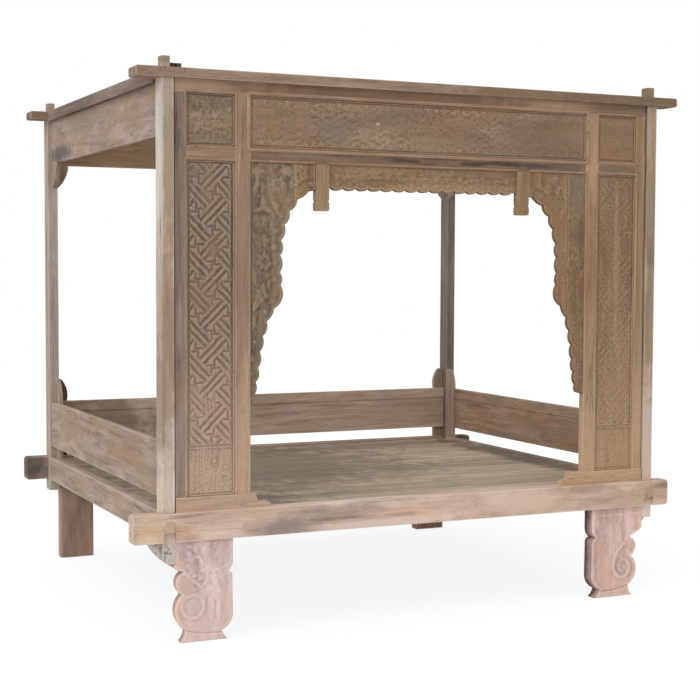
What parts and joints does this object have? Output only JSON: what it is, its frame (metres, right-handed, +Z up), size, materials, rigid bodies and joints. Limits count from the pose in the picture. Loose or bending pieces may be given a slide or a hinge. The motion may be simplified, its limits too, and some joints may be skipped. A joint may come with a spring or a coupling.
{
  "type": "canopy bed",
  "caption": "Old teak canopy bed with a slatted platform, carved front with scalloped arch, fret panels and pendants, open top of crossed boards, low guards and scrolled front legs.",
  "frame": {"origin": "middle of the bed's footprint on the floor", "axes": "+X along the front to the right as seen from the front, -Y out of the carved front, +Z up"},
  "size_m": [2.44, 1.884, 2.177],
  "materials": {
    "posts": "old bleached teak, dry and unvarnished",
    "front_legs": "old bleached teak, dry and unvarnished",
    "front_rail": "old bleached teak, dry and unvarnished",
    "back_timber": "old bleached teak, dry and unvarnished",
    "deck": "old bleached teak, dry and unvarnished",
    "carved_panels": "old bleached teak, dry and unvarnished",
    "front_frame": "old bleached teak, dry and unvarnished",
    "side_timber": "old bleached teak, dry and unvarnished"
  },
  "bodies": {
    "root": {"post_front_left": "posts", "post_front_right": "posts", "post_back_left": "posts", "post_back_right": "posts", "front_rail": "front_rail", "back_rail": "back_timber", "left_rail": "side_timber", "right_rail": "side_timber", "front_leg_left": "front_legs", "front_leg_right": "front_legs", "back_leg_left": "back_timber", "back_leg_right": "back_timber", "deck_boards": "deck", "bearers": "back_timber", "ledgers": "back_timber", "guard_left": "side_timber", "guard_right": "side_timber", "guard_back": "side_timber", "cheek_side_left": "side_timber", "cheek_side_right": "side_timber", "cheek_back_left": "back_timber", "cheek_back_right": "back_timber", "top_front": "side_timber", "top_back": "side_timber", "top_left": "side_timber", "top_right": "side_timber", "apron_left": "side_timber", "apron_right": "side_timber", "apron_back": "back_timber", "bracket_side_left": "side_timber", "bracket_side_right": "side_timber", "bracket_back_left": "back_timber", "bracket_back_right": "back_timber", "nailed_block": "posts", "upper_rail": "front_frame", "mid_rail_left": "front_frame", "mid_rail_right": "front_frame", "mid_rail_centre": "front_frame", "plinth_left": "front_frame", "plinth_right": "front_frame", "outer_stile_left": "front_frame", "outer_stile_right": "front_frame", "inner_stile_left": "front_frame", "inner_stile_right": "front_frame", "square_panel_left": "carved_panels", "square_panel_right": "carved_panels", "tall_panel_left": "carved_panels", "tall_panel_right": "carved_panels", "frieze_panel": "carved_panels", "spandrel_outer_left": "carved_panels", "spandrel_inner_left": "carved_panels", "spandrel_outer_right": "carved_panels", "spandrel_inner_right": "carved_panels", "valance": "carved_panels", "pendant_left": "front_frame", "pendant_right": "front_frame", "pegs": "posts"}
  },
  "joints": []
}
